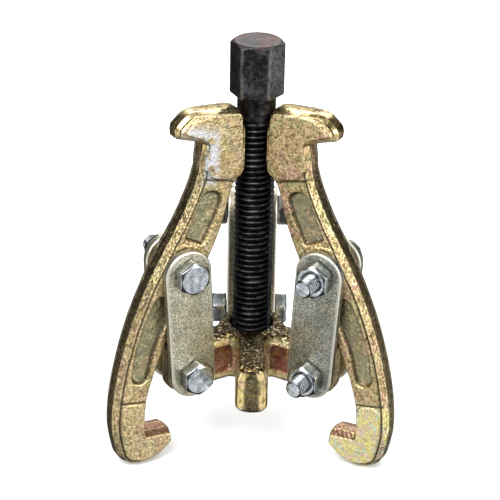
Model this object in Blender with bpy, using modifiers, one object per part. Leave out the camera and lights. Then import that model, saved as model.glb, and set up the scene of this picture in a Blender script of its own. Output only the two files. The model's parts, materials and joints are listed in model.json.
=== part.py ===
"""Three-jaw gear puller, standing on its claws.

Metres, +Z up. The origin is on the forcing screw's axis, level with the soles of the claws. Three arms
stand at 210, 330 and 90 degrees from +X, and the yoke's unused fourth lug points along -Y.
"""

import math

import bmesh
import bpy
from mathutils import Matrix, Vector

MM = 0.001
GAP = 0.3 * MM
SNUG = 0.1 * MM

# Forcing screw: 1/2-13 thread, 15 mm hexagon.
SCREW_R = 6.35 * MM
PITCH = 1.954 * MM
THREAD_DEPTH = 1.15 * MM
THREAD_SIDES = 14
THREAD_TOP = 114.0 * MM
SCREW_BOTTOM = 22.0 * MM
SCREW_CHAMFER = 1.2 * MM
NECK_R = 6.1 * MM
NECK_ROOT = 1.6 * MM
NECK_SHOULDER = 0.6 * MM
HEX_FLATS = 15.0 * MM
HEX_BOTTOM = 121.1 * MM
HEX_TOP = 138.5 * MM
HEX_TURN = math.radians(24.5)

# Live centre point, free to turn in the end of the screw.
POINT_STEM_R = 2.4 * MM
POINT_STEM_LENGTH = 8.0 * MM
POINT_COLLAR_R = 4.6 * MM
POINT_COLLAR_HEIGHT = 2.4 * MM
POINT_TIP = 14.6 * MM

# Yoke: four lugs round a threaded hub.
LUG_HALF_WIDTH = 5.2 * MM
YOKE_SECTIONS = (
    (23.3 * MM, 4.5 * MM, 28.8 * MM),
    (24.0 * MM, 5.0 * MM, 30.7 * MM),
    (25.3 * MM, LUG_HALF_WIDTH, 31.8 * MM),
    (27.1 * MM, LUG_HALF_WIDTH, 32.2 * MM),
    (35.8 * MM, LUG_HALF_WIDTH, 32.2 * MM),
    (39.1 * MM, 4.3 * MM, 31.6 * MM),
    (40.3 * MM, 3.6 * MM, 30.2 * MM),
)
LUG_CORNER_R = 0.9 * MM
HUB_R = 10.8 * MM
HUB_FILLET = 2.6 * MM
HUB_FACET = 0.33
CROTCH_FILLET = 3.6 * MM
LUG_AZIMUTHS = (90, 210, 270, 330)
RECESS_RADII = (13.0 * MM, 18.6 * MM)
RECESS_HEIGHTS = (27.4 * MM, 36.4 * MM)
RECESS_FLOOR = 4.2 * MM

# Pivots of an arm: the lower one in the lug, the upper one in the jaw.
LOWER_PIVOT = (26.0 * MM, 31.2 * MM)
LINK_LENGTH = 36.8 * MM
LINK_LEAN = math.radians(3.1)
PIVOT_HOLE_R = 3.25 * MM

# Link plates, one on each side of a lug and jaw.
PLATE_END_R = 8.0 * MM
PLATE_THICKNESS = 2.8 * MM
PLATE_INNER = LUG_HALF_WIDTH + GAP
PLATE_OUTER = PLATE_INNER + PLATE_THICKNESS

# M6 bolts and nuts.
BOLT_R = 3.0 * MM
BOLT_FLATS = 10.0 * MM
BOLT_HEAD = 4.1 * MM
BOLT_LENGTH = 27.0 * MM
HEX_END_INSET = 0.15 * MM
HEX_END_ANGLE = math.radians(30)
SHANK_OVERLAP = 0.7 * MM
BOLT_THREAD_PITCH = 1.0 * MM
BOLT_THREAD_DEPTH = 0.45 * MM
BOLT_THREAD_TURNS = 5
NUT_HEIGHT = 5.0 * MM

ROUND_SIDES = 24
BOSS_SIDES = 32
HOLE_SIDES = 16
CORNER_STEPS = 3

# Jaw: a forging with thicker pads at both ends and a boss at its pivot.
JAW_HALF_WIDTH = 4.8 * MM
PAD_HALF_WIDTH = 5.25 * MM
BOSS_R = 8.8 * MM
PARTING_RIDGE = 0.5 * MM
EDGE_CHAMFER = 0.45 * MM
PAD_INSET = 0.35 * MM
POCKET_FLOOR = 3.0 * MM
CLAW_PAD_HEAD = (46.8 * MM, 24.0 * MM)
CLAW_PAD_TILT = math.radians(-11)
HOOK_PAD_FOOT = (15.2 * MM, 96.8 * MM)
HOOK_PAD_TILT = math.radians(-14)

ARMS = {"left": 210, "right": 330, "back": 90}
HEADS_FACE_CLOCKWISE = ("back",)


def clear_scene():
    for obj in list(bpy.data.objects):
        bpy.data.objects.remove(obj)


def new_collection(name):
    made = bpy.data.collections.new(name)
    bpy.context.scene.collection.children.link(made)
    return made


def metal(name, colour, roughness):
    made = bpy.data.materials.new(name)
    made.use_nodes = True
    shader = made.node_tree.nodes["Principled BSDF"]
    shader.inputs["Base Color"].default_value = (*colour, 1)
    shader.inputs["Roughness"].default_value = roughness
    shader.inputs["Metallic"].default_value = 1
    return made


def add_object(name, mesh, group):
    made = bpy.data.objects.new(name, mesh)
    group.objects.link(made)
    return made


def add_cutter(name, mesh):
    made = add_object(name, mesh, cutters)
    made.hide_render = True
    made.display_type = "WIRE"
    return made


def mesh_from(bm, name):
    bmesh.ops.recalc_face_normals(bm, faces=bm.faces)
    mesh = bpy.data.meshes.new(name)
    bm.to_mesh(mesh)
    bm.free()
    return mesh


def baked(obj, name):
    """The object's evaluated mesh in its own frame, and the object is removed."""
    bpy.context.view_layer.update()
    graph = bpy.context.evaluated_depsgraph_get()
    mesh = bpy.data.meshes.new_from_object(obj.evaluated_get(graph))
    mesh.name = name
    bpy.data.objects.remove(obj)
    return mesh


def add_boolean(obj, operation, other):
    step = obj.modifiers.new(operation.lower(), "BOOLEAN")
    step.operation = operation
    step.object = other


def shade(mesh):
    mesh.shade_smooth()
    mesh.set_sharp_from_angle(angle=math.radians(30))


# Outlines in a plane.


def rounded(corners, steps=CORNER_STEPS):
    """The outline through (x, y, radius) corners, each turned into an arc of its radius."""
    outline = []
    for i, (x, y, radius) in enumerate(corners):
        corner = Vector((x, y))
        before = Vector(corners[i - 1][:2]) - corner
        after = Vector(corners[(i + 1) % len(corners)][:2]) - corner
        half = before.angle(after) / 2
        if radius == 0 or abs(half - math.pi / 2) < 0.01:
            outline.append((x, y))
            continue
        middle = (before.normalized() + after.normalized()).normalized()
        centre = corner + middle * radius / math.sin(half)
        start = corner + before.normalized() * radius / math.tan(half) - centre
        end = corner + after.normalized() * radius / math.tan(half) - centre
        sweep = start.angle_signed(end)
        for step in range(steps + 1):
            arm = Matrix.Rotation(-sweep * step / steps, 2) @ start
            outline.append(tuple(centre + arm))
    return outline


def smooth_through(points, steps):
    """A Catmull-Rom curve through the points, from the first to the last."""
    knots = [Vector(p) for p in points]
    knots = [2 * knots[0] - knots[1], *knots, 2 * knots[-1] - knots[-2]]
    curve = []
    for a, b, c, d in zip(knots, knots[1:], knots[2:], knots[3:]):
        for step in range(steps):
            t = step / steps
            curve.append(
                0.5 * (2 * b + (c - a) * t + (2 * a - 5 * b + 4 * c - d) * t**2
                       + (3 * b - a - 3 * c + d) * t**3)
            )
    curve.append(knots[-2])
    return [tuple(p) for p in curve]


def offset(outline, distance):
    """The counter-clockwise outline moved outwards by the distance."""
    moved = []
    for i, point in enumerate(outline):
        before = Vector(point) - Vector(outline[i - 1])
        after = Vector(outline[(i + 1) % len(outline)]) - Vector(point)
        along = (before.normalized() + after.normalized()).normalized()
        reach = distance / max(along.dot(after.normalized()), 0.5)
        moved.append((point[0] + along.y * reach, point[1] - along.x * reach))
    return moved


def circle(radius, centre=(0, 0), sides=HOLE_SIDES):
    turns = [2 * math.pi * i / sides for i in range(sides)]
    return [(centre[0] + radius * math.cos(a), centre[1] + radius * math.sin(a)) for a in turns]


# Solids.


def loft(name, rings):
    """A closed mesh through rings of points that have equal counts, with flat ends."""
    bm = bmesh.new()
    loops = [[bm.verts.new(point) for point in ring] for ring in rings]
    for lower, upper in zip(loops, loops[1:]):
        for i in range(len(lower)):
            bm.faces.new((lower[i - 1], lower[i], upper[i], upper[i - 1]))
    bm.faces.new(loops[0])
    bm.faces.new(loops[-1])
    return mesh_from(bm, name)


def flat(name, outlines, thickness):
    """A plate in the XY plane, centred on it, from an outline and the holes in it."""
    curve = bpy.data.curves.new(name, "CURVE")
    curve.dimensions = "2D"
    curve.fill_mode = "BOTH"
    curve.extrude = thickness / 2
    for outline in outlines:
        spline = curve.splines.new("POLY")
        spline.points.add(len(outline) - 1)
        for point, (x, y) in zip(spline.points, outline):
            point.co = (x, y, 0, 1)
        spline.use_cyclic_u = True
    mesh = baked(add_object(name, curve, parts), name)
    bm = bmesh.new()
    bm.from_mesh(mesh)
    bmesh.ops.remove_doubles(bm, verts=bm.verts, dist=1e-6)
    return mesh_from(bm, name)


def turned(name, profile, steps=ROUND_SIDES):
    """A solid of revolution about Z from (radius, height) points, top to bottom."""
    bm = bmesh.new()
    line = [bm.verts.new((radius, 0, height)) for radius, height in profile]
    for top, bottom in zip(line, line[1:]):
        bm.edges.new((top, bottom))
    mesh = bpy.data.meshes.new(name)
    bm.to_mesh(mesh)
    bm.free()
    obj = add_object(name, mesh, parts)
    spin = obj.modifiers.new("turn", "SCREW")
    spin.steps = spin.render_steps = steps
    spin.use_merge_vertices = True
    spin.merge_threshold = 1e-5
    return baked(obj, name)


def cylinder(name, radius, height, sides=HOLE_SIDES):
    """A cylinder about Z, centred on the origin."""
    bm = bmesh.new()
    bmesh.ops.create_cone(
        bm, cap_ends=True, segments=sides, radius1=radius, radius2=radius, depth=height
    )
    return mesh_from(bm, name)


def block(name, low, high):
    bm = bmesh.new()
    bmesh.ops.create_cube(bm, size=1)
    size = Vector(high) - Vector(low)
    bmesh.ops.scale(bm, vec=size, verts=bm.verts)
    bmesh.ops.translate(bm, vec=(Vector(low) + Vector(high)) / 2, verts=bm.verts)
    return mesh_from(bm, name)


def helical_rod(name, crest, depth, bottom, turns):
    """A right-hand thread about Z with sharp crest and root lines, closed by a fan at each end."""
    bm = bmesh.new()
    sides = THREAD_SIDES

    def line(radius, start, count):
        points = []
        for i in range(count):
            turn = Matrix.Rotation(2 * math.pi * i / sides, 3, "Z")
            points.append(bm.verts.new(turn @ Vector((radius, 0, start + PITCH * i / sides))))
        return points

    last = turns * sides
    root = line(crest - depth, bottom, last + sides + 1)
    top = line(crest, bottom + PITCH / 2, last + 1)
    for i in range(last):
        bm.faces.new((root[i], root[i + 1], top[i + 1], top[i]))
        bm.faces.new((top[i], top[i + 1], root[i + sides + 1], root[i + sides]))
    for first, height in ((0, bottom - PITCH), (last, bottom + PITCH * (turns + 2))):
        hub = bm.verts.new((0, 0, height))
        edge = root[first:first + sides + 1] + [top[first]]
        for i, vert in enumerate(edge):
            bm.faces.new((hub, edge[i - 1], vert))
    return mesh_from(bm, name)


def hexagon(name, flats, low, high, ends):
    """A hexagonal prism about Z, its corners turned off at the ends named in ends."""
    corner = flats / math.sqrt(3)
    prism = add_object(name, cylinder(name, corner, high - low, sides=6), parts)
    prism.location.z = (low + high) / 2
    face_r = flats / 2 - HEX_END_INSET
    clear = corner + MM
    slope = (clear - face_r) * math.tan(HEX_END_ANGLE)
    profile = [(0, high), (face_r, high), (clear, high - slope)]
    if "low" in ends:
        profile += [(clear, low + slope), (face_r, low), (0, low)]
    else:
        profile += [(clear, low - MM), (0, low - MM)]
    add_boolean(prism, "INTERSECT", add_cutter(name + "_corners", turned(name, profile)))
    return world_baked(prism, name)


def world_baked(obj, name):
    """The object's evaluated mesh in world coordinates, and the object is removed."""
    bpy.context.view_layer.update()
    place = obj.matrix_world.copy()
    mesh = baked(obj, name)
    mesh.transform(place)
    return mesh


# The turning parts on the screw's axis.


def thread_start():
    return SCREW_BOTTOM - 2 * PITCH


def build_screw(paint):
    turns = math.ceil((THREAD_TOP - thread_start()) / PITCH)
    rod = helical_rod("thread", SCREW_R, THREAD_DEPTH, thread_start(), turns)
    screw = add_object("forcing_screw", rod, parts)
    chamfer_r = SCREW_R - SCREW_CHAMFER
    blank = [
        (0, THREAD_TOP),
        (SCREW_R + GAP, THREAD_TOP),
        (SCREW_R + GAP, SCREW_BOTTOM + SCREW_CHAMFER + GAP),
        (chamfer_r, SCREW_BOTTOM),
        (0, SCREW_BOTTOM),
    ]
    add_boolean(screw, "INTERSECT", add_cutter("screw_blank", turned("blank", blank)))
    neck = [
        (0, HEX_BOTTOM + MM),
        (NECK_R, HEX_BOTTOM + MM),
        (NECK_R, THREAD_TOP - NECK_SHOULDER),
        (NECK_R - THREAD_DEPTH, THREAD_TOP - NECK_ROOT),
        (0, THREAD_TOP - NECK_ROOT),
    ]
    add_boolean(screw, "UNION", add_cutter("screw_neck", turned("neck", neck)))
    head = hexagon("head", HEX_FLATS, HEX_BOTTOM, HEX_TOP, ("high",))
    head.transform(Matrix.Rotation(HEX_TURN, 4, "Z"))
    add_boolean(screw, "UNION", add_cutter("screw_head", head))
    socket_r = POINT_STEM_R + GAP
    socket = [
        (0, SCREW_BOTTOM + POINT_STEM_LENGTH + GAP),
        (socket_r, SCREW_BOTTOM + POINT_STEM_LENGTH + GAP),
        (socket_r, SCREW_BOTTOM - MM),
        (0, SCREW_BOTTOM - MM),
    ]
    add_boolean(screw, "DIFFERENCE", add_cutter("screw_socket", turned("socket", socket)))
    finish("forcing_screw", baked(screw, "forcing_screw"), paint)


def build_centre_point(paint):
    collar_top = SCREW_BOTTOM - GAP
    collar_bottom = collar_top - POINT_COLLAR_HEIGHT
    profile = [
        (0, SCREW_BOTTOM + POINT_STEM_LENGTH),
        (POINT_STEM_R - EDGE_CHAMFER, SCREW_BOTTOM + POINT_STEM_LENGTH),
        (POINT_STEM_R, SCREW_BOTTOM + POINT_STEM_LENGTH - EDGE_CHAMFER),
        (POINT_STEM_R, collar_top),
        (POINT_COLLAR_R - EDGE_CHAMFER, collar_top),
        (POINT_COLLAR_R, collar_top - EDGE_CHAMFER),
        (POINT_COLLAR_R, collar_bottom),
        (0, POINT_TIP),
    ]
    finish("centre_point", turned("centre_point", profile), paint)


# Yoke.


def yoke_ring(height, half_width, lug_end):
    """The yoke's outline in plan at one height: lugs joined by arcs, with the hub in the wide gaps."""
    corners = []
    for azimuth, after in zip(LUG_AZIMUTHS, LUG_AZIMUTHS[1:] + (LUG_AZIMUTHS[0] + 360,)):
        turn = Matrix.Rotation(math.radians(azimuth), 2)
        for side in (-1, 1):
            corners.append((*(turn @ Vector((lug_end, side * half_width))), LUG_CORNER_R))
        half_gap = math.radians(after - azimuth) / 2
        bisector = Matrix.Rotation(math.radians(azimuth) + half_gap, 2)
        if half_gap > math.radians(45):
            reach = math.sqrt(HUB_R**2 - half_width**2)
            spread = half_gap - math.atan2(half_width, reach)
            for share, radius in ((-1, HUB_FILLET), (-HUB_FACET, 0), (HUB_FACET, 0), (1, HUB_FILLET)):
                point = Matrix.Rotation(share * spread, 2) @ Vector((HUB_R, 0))
                corners.append((*(bisector @ point), radius))
        else:
            point = Vector((half_width / math.sin(half_gap), 0))
            corners.append((*(bisector @ point), CROTCH_FILLET))
    return [(x, y, height) for x, y in rounded(corners)]


def yoke_body():
    """The drafted forging: widest at mid-height, with lug ends rounded at top and bottom."""
    return loft("yoke_body", [yoke_ring(*section) for section in YOKE_SECTIONS])


def build_yoke(paint):
    yoke = add_object("yoke", yoke_body(), parts)
    yoke_bottom = YOKE_SECTIONS[0][0]
    yoke_top = YOKE_SECTIONS[-1][0]
    start = thread_start() - (math.ceil((thread_start() - yoke_bottom) / PITCH) + 3) * PITCH
    turns = math.ceil((yoke_top - start) / PITCH) + 1
    thread = helical_rod("yoke_thread", SCREW_R + GAP, THREAD_DEPTH, start, turns)
    add_boolean(yoke, "DIFFERENCE", add_cutter("yoke_thread", thread))
    for azimuth in LUG_AZIMUTHS:
        turn = Matrix.Rotation(math.radians(azimuth), 4, "Z")
        hole = add_cutter(f"yoke_hole_{azimuth}", cylinder("hole", PIVOT_HOLE_R, 4 * LUG_HALF_WIDTH))
        hole.matrix_world = turn @ across(Vector((LOWER_PIVOT[0], 0, LOWER_PIVOT[1])))
        add_boolean(yoke, "DIFFERENCE", hole)
        for side in (-1, 1):
            depth = sorted((side * RECESS_FLOOR, side * 2 * LUG_HALF_WIDTH))
            low = (RECESS_RADII[0], depth[0], RECESS_HEIGHTS[0])
            high = (RECESS_RADII[1], depth[1], RECESS_HEIGHTS[1])
            recess = add_cutter(f"yoke_recess_{azimuth}_{side}", block("recess", low, high))
            recess.matrix_world = turn
            add_boolean(yoke, "DIFFERENCE", recess)
    finish("yoke", baked(yoke, "yoke"), paint)


# Jaw: its outline is in (radius, height) from the puller's axis, with the arm as in the assembly.


def jaw_outer_sweep():
    """The back of the jaw, from the foot of its hook down to its heel."""
    knots = [(21.0, 98.4), (22.9, 92.7), (27.4, 83.4), (33.7, 73.0), (39.6, 62.2),
             (45.0, 49.8), (49.2, 36.3), (51.7, 24.0), (52.4, 14.5), (51.6, 8.2)]
    return smooth_through(knots, 2)


def jaw_inner_sweep():
    """The inside of the jaw, from the throat of its claw up to its head."""
    knots = [(42.0, 14.5), (41.3, 22.5), (38.8, 31.0), (35.6, 39.3), (31.2, 47.8), (24.9, 58.7),
             (18.6, 69.8), (13.6, 81.0), (9.9, 91.0), (8.2, 97.5), (7.4, 103.5), (7.3, 110.0)]
    return smooth_through(knots, 2)


def jaw_claw():
    """The heel, sole, nose and gripping face of the claw."""
    return rounded([
        (51.6, 8.2, 0), (50.1, 1.3, 6.0), (43.5, -1.05, 9.0), (36.8, 1.4, 7.0), (32.2, 4.9, 1.6),
        (32.7, 8.9, 1.2), (41.9, 9.6, 1.0), (42.0, 14.5, 0),
    ])[1:-1]


def jaw_hook():
    """The head, nose and underside of the hook."""
    return rounded([
        (7.3, 110.0, 0), (7.6, 117.3, 2.6), (24.6, 118.4, 5.6), (29.4, 114.3, 2.6), (29.2, 111.3, 0.6),
        (19.5, 108.2, 1.2), (21.0, 98.4, 0),
    ])[1:-1]


def jaw_outline():
    """Counter-clockwise seen with the radius to the right and height up."""
    clockwise = jaw_outer_sweep() + jaw_claw() + jaw_inner_sweep() + jaw_hook()
    return clockwise[::-1]


def standing(shape):
    """A shape of the jaw in metres, lifted so that the parting ridge under the sole is at zero."""
    lowest = min(z for r, z in jaw_outline()) * MM
    return [(r * MM, z * MM - lowest + PARTING_RIDGE) for r, z in shape]


def lower_pocket():
    return rounded([
        (36.9, 60.6, 2.2), (41.9, 51.6, 30), (45.4, 42.2, 30), (47.3, 30.4, 3.0), (41.2, 28.4, 3.0),
        (38.3, 40.2, 30), (34.4, 48.2, 30), (30.2, 55.6, 2.2),
    ])


def upper_pocket():
    return rounded([
        (13.1, 91.0, 2.6), (20.9, 93.3, 2.6), (25.8, 82.2, 20), (28.0, 77.5, 1.6), (20.8, 73.9, 1.6),
        (16.5, 82.2, 20),
    ])


def across(point):
    """The place of a pivot pin drawn about Z, laid along Y through the point."""
    return Matrix.Translation(point) @ Matrix.Rotation(math.pi / 2, 4, "X")


def upright(mesh):
    """Turns a mesh drawn in XY so that its Y points up and its front faces -Y."""
    mesh.transform(Matrix.Rotation(math.pi / 2, 4, "X"))
    return mesh


def jaw_rings(outline):
    """The section at the two side faces, their chamfers and the parting ridge between them."""
    edge = JAW_HALF_WIDTH - EDGE_CHAMFER
    stations = [(-JAW_HALF_WIDTH, -EDGE_CHAMFER), (-edge, 0), (0, PARTING_RIDGE),
                (edge, 0), (JAW_HALF_WIDTH, -EDGE_CHAMFER)]
    return [[(r, side, z) for r, z in offset(outline, move)] for side, move in stations]


def jaw_pad(name, outline, keep):
    """The part of a thicker copy of the jaw that lies inside the mesh keep."""
    inner = offset(outline, -PAD_INSET - EDGE_CHAMFER)
    outer = offset(outline, -PAD_INSET)
    edge = PAD_HALF_WIDTH - EDGE_CHAMFER
    stations = [(-PAD_HALF_WIDTH, inner), (-edge, outer), (edge, outer), (PAD_HALF_WIDTH, inner)]
    pad = loft(name, [[(r, side, z) for r, z in ring] for side, ring in stations])
    blank = add_object(name, pad, parts)
    add_boolean(blank, "INTERSECT", add_cutter(name + "_limit", keep))
    return baked(blank, name)


def jaw_mesh():
    outline = standing(jaw_outline())
    jaw = add_object("jaw", loft("jaw", jaw_rings(outline)), parts)
    wide = 2 * PAD_HALF_WIDTH
    reach = 40 * MM
    claw_limit = block("limit", (-reach, -wide, -reach), (reach, wide, 0))
    hook_limit = block("limit", (-reach, -wide, 0), (reach, wide, reach))
    for limit, place, tilt in (
        (claw_limit, CLAW_PAD_HEAD, CLAW_PAD_TILT),
        (hook_limit, HOOK_PAD_FOOT, HOOK_PAD_TILT),
    ):
        move = Matrix.Translation((place[0], 0, place[1]))
        limit.transform(move @ Matrix.Rotation(tilt, 4, "Y"))
    for name, keep in (("claw_pad", claw_limit), ("hook_pad", hook_limit)):
        add_boolean(jaw, "UNION", add_cutter(name, jaw_pad(name, outline, keep)))
    boss = add_cutter("boss", cylinder("boss", BOSS_R, 2 * LUG_HALF_WIDTH, sides=BOSS_SIDES))
    boss.matrix_world = across(upper_pivot())
    add_boolean(jaw, "UNION", boss)
    depth = 2 * PAD_HALF_WIDTH
    for label, shape in (("lower", lower_pocket()), ("upper", upper_pocket())):
        for side in (-1, 1):
            mesh = upright(flat("pocket", [standing(shape)], depth))
            pocket = add_cutter(f"pocket_{label}_{side}", mesh)
            pocket.location.y = side * (POCKET_FLOOR + depth / 2)
            add_boolean(jaw, "DIFFERENCE", pocket)
    hole = add_cutter("jaw_hole", cylinder("hole", PIVOT_HOLE_R, 4 * PAD_HALF_WIDTH))
    hole.matrix_world = across(upper_pivot())
    add_boolean(jaw, "DIFFERENCE", hole)
    mesh = baked(jaw, "jaw")
    mesh.transform(Matrix.Translation(-upper_pivot()))
    return mesh


# Link plates, bolts and nuts, each about its own pivot.


def upper_pivot():
    lean = Matrix.Rotation(LINK_LEAN, 3, "Y") @ Vector((0, 0, LINK_LENGTH))
    return Vector((LOWER_PIVOT[0], 0, LOWER_PIVOT[1])) + lean


def plate_mesh():
    half_turn = [math.pi * i / HOLE_SIDES for i in range(HOLE_SIDES + 1)]
    outline = [(PLATE_END_R * math.cos(a), LINK_LENGTH + PLATE_END_R * math.sin(a)) for a in half_turn]
    outline += [(-PLATE_END_R * math.cos(a), -PLATE_END_R * math.sin(a)) for a in half_turn]
    holes = [circle(PIVOT_HOLE_R), circle(PIVOT_HOLE_R, (0, LINK_LENGTH))]
    return upright(flat("link_plate", [outline, *holes], PLATE_THICKNESS))


def bolt_mesh():
    """Its axis is Z, its head on top, and its middle halfway between the outer faces of the plates."""
    under_head = PLATE_OUTER + SNUG
    end = under_head - BOLT_LENGTH
    head = hexagon("bolt", BOLT_FLATS, under_head, under_head + BOLT_HEAD, ("high",))
    bolt = add_object("bolt", head, parts)
    profile = [(0, under_head + SHANK_OVERLAP), (BOLT_R, under_head + SHANK_OVERLAP)]
    thread_top = end + BOLT_THREAD_TURNS * BOLT_THREAD_PITCH
    root = BOLT_R - BOLT_THREAD_DEPTH
    for i in range(BOLT_THREAD_TURNS):
        crest = thread_top - i * BOLT_THREAD_PITCH
        profile += [(BOLT_R, crest), (root, crest - BOLT_THREAD_PITCH / 2)]
    profile += [(root, end), (0, end)]
    shank = turned("shank", profile, HOLE_SIDES)
    add_boolean(bolt, "UNION", add_cutter("bolt_shank", shank))
    return baked(bolt, "bolt")


def nut_mesh():
    """Its axis is Z, with its face against the plate level with the bolt's middle plane minus PLATE_OUTER."""
    top = -PLATE_OUTER - SNUG
    blank = hexagon("nut", BOLT_FLATS, top - NUT_HEIGHT, top, ("high", "low"))
    nut = add_object("nut", blank, parts)
    bore = add_cutter("nut_bore", cylinder("bore", BOLT_R + SNUG, 4 * NUT_HEIGHT))
    bore.location.z = top - NUT_HEIGHT / 2
    add_boolean(nut, "DIFFERENCE", bore)
    return baked(nut, "nut")


def finish(name, mesh, paint, parent=None, location=(0, 0, 0), rotation=(0, 0, 0)):
    """Puts a finished mesh in the assembly as one node."""
    if not mesh.materials:
        mesh.materials.append(paint)
    mesh.materials[0] = paint
    shade(mesh)
    made = add_object(name, mesh, parts)
    made.parent = parent
    made.location = location
    made.rotation_euler = rotation
    return made


def add_empty(name, parent, location, rotation):
    made = add_object(name, None, parts)
    made.empty_display_size = 10 * MM
    made.parent = parent
    made.location = location
    made.rotation_euler = rotation
    return made


def build_arm(label, azimuth, meshes, paints):
    """One arm: its radius is local X and its pivots turn about local Y."""
    arm = add_empty(f"arm_{label}", None, (0, 0, 0), (0, 0, math.radians(azimuth)))
    pivot = (LOWER_PIVOT[0], 0, LOWER_PIVOT[1])
    link = add_empty(f"link_{label}", arm, pivot, (0, LINK_LEAN, 0))
    finish(f"jaw_{label}", meshes["jaw"], paints["forging"], arm, upper_pivot())
    heads = -1 if label in HEADS_FACE_CLOCKWISE else 1
    plate_y = PLATE_INNER + PLATE_THICKNESS / 2
    for name, side in (("head_side", heads), ("nut_side", -heads)):
        finish(f"link_plate_{label}_{name}", meshes["plate"], paints["plate"], link, (0, side * plate_y, 0))
    lay = (-heads * math.pi / 2, 0, 0)
    for name, height in (("lower", 0), ("upper", LINK_LENGTH)):
        for kind in ("bolt", "nut"):
            node = f"pivot_{kind}_{label}_{name}"
            finish(node, meshes[kind], paints["hardware"], link, (0, 0, height), lay)


def build():
    paints = {
        "forging": metal("yellow_zinc_forging", (0.50, 0.38, 0.17), 0.42),
        "plate": metal("olive_zinc_plate", (0.46, 0.44, 0.36), 0.38),
        "hardware": metal("bright_zinc", (0.72, 0.74, 0.77), 0.25),
        "screw": metal("black_oxide", (0.025, 0.025, 0.028), 0.38),
        "point": metal("hardened_steel", (0.30, 0.30, 0.31), 0.35),
    }
    build_screw(paints["screw"])
    build_centre_point(paints["point"])
    build_yoke(paints["forging"])
    meshes = {"jaw": jaw_mesh(), "plate": plate_mesh(), "bolt": bolt_mesh(), "nut": nut_mesh()}
    for label, azimuth in ARMS.items():
        build_arm(label, azimuth, meshes, paints)


clear_scene()
parts = new_collection("gear_puller")
cutters = new_collection("cutters")
build()
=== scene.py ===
"""Looks of the gear puller: finer forgings, threads and hardware, their metals, the light and the camera.

Shapes are worked out in millimetres in the frame's own axes and stored in metres. The forgings and the
link plates are surfaces of distance functions, and the threaded and hexagonal pieces are rings round an
axis. Every piece stands for the CAD node of the same name and rides on that node's body.
"""

import json
import math

import bpy
import numpy as np
import openvdb
from mathutils import Matrix, Vector


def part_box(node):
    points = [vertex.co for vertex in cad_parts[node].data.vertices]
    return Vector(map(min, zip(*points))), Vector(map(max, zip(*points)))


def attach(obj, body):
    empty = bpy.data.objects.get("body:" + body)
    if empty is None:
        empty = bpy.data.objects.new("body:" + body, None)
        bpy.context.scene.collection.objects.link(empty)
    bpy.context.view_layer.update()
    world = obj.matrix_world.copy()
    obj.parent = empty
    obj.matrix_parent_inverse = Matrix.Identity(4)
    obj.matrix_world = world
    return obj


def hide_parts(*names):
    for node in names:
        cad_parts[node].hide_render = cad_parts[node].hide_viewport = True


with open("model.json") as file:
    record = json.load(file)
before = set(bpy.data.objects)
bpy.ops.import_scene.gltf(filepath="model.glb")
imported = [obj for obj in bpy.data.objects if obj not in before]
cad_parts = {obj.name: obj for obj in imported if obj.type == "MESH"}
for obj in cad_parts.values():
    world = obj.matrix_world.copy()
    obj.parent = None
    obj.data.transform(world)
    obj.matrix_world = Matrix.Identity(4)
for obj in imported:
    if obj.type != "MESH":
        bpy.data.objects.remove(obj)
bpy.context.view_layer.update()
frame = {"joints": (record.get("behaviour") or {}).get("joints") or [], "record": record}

MM = 0.001
JOINTS = {joint["name"]: joint for joint in frame["joints"]}
ARMS = ("left", "right", "back")


def in_mm(point):
    return Vector(point) / MM


def box_mm(node):
    return [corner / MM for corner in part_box(node)]


# Sizes that the frame gives.

PIVOT_PLACES = {
    (arm, height): in_mm(JOINTS[name + arm]["pos_m"])
    for arm in ARMS
    for height, name in (("lower", "link_swing_"), ("upper", "jaw_pivot_"))
}
AZIMUTHS = {arm: math.atan2(PIVOT_PLACES[arm, "lower"].y, PIVOT_PLACES[arm, "lower"].x) for arm in ARMS}
LOWER_PIVOT = (PIVOT_PLACES["back", "lower"].y, PIVOT_PLACES["back", "lower"].z)
UPPER_PIVOT = (PIVOT_PLACES["back", "upper"].y, PIVOT_PLACES["back", "upper"].z)
PIVOT_SPAN = math.dist(LOWER_PIVOT, UPPER_PIVOT)
FLOOR = box_mm("jaw_back")[0].z
PAD_HALF_WIDTH = box_mm("jaw_back")[1].x
SCREW_BOTTOM = box_mm("forcing_screw")[0].z
HEX_TOP = box_mm("forcing_screw")[1].z
YOKE_BOTTOM = box_mm("yoke")[0].z
YOKE_TOP = box_mm("yoke")[1].z
SKIN_ROOM = 0.12
LUG_END = -box_mm("yoke")[0].y - SKIN_ROOM
POINT_TIP = box_mm("centre_point")[0].z

# Sizes repeated from the CAD.

JAW_HALF_WIDTH = 4.8
BOSS_R = 8.8
BOSS_HALF_WIDTH = 5.2
PARTING_RIDGE = 0.5
POCKET_FLOOR = 3.0
CLAW_PAD = ((46.8, 24.0), -11)
HOOK_PAD = ((15.2, 96.8), -14)
HOLE_R = 3.25
HUB_R = 10.8
SPARE_LUG = math.radians(270)
RECESS_HEIGHTS = (27.4, 36.4)
RECESS_FLOOR = 4.2
PLATE_R = 8.0
PLATE_INNER = 5.5
PLATE_THICKNESS = 2.8
SCREW_R = 6.35
PITCH = 1.954
THREAD_DEPTH = 1.15
THREAD_TOP = 114.0
NECK_R = 6.1
HEX_FLATS = 15.0
HEX_BOTTOM = 121.1
HEX_TURN = math.radians(24.5)
POINT_COLLAR_R = 4.6
POINT_COLLAR_HEIGHT = 2.4
BOLT_R = 3.0
BOLT_PITCH = 1.0
BOLT_FLATS = 10.0
BOLT_HEAD = 4.1
BOLT_LENGTH = 27.0
NUT_HEIGHT = 5.0
SNUG = 0.1

# Sizes of the finer shapes. The CAD leaves these out, or has a plainer shape of another size.

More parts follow.
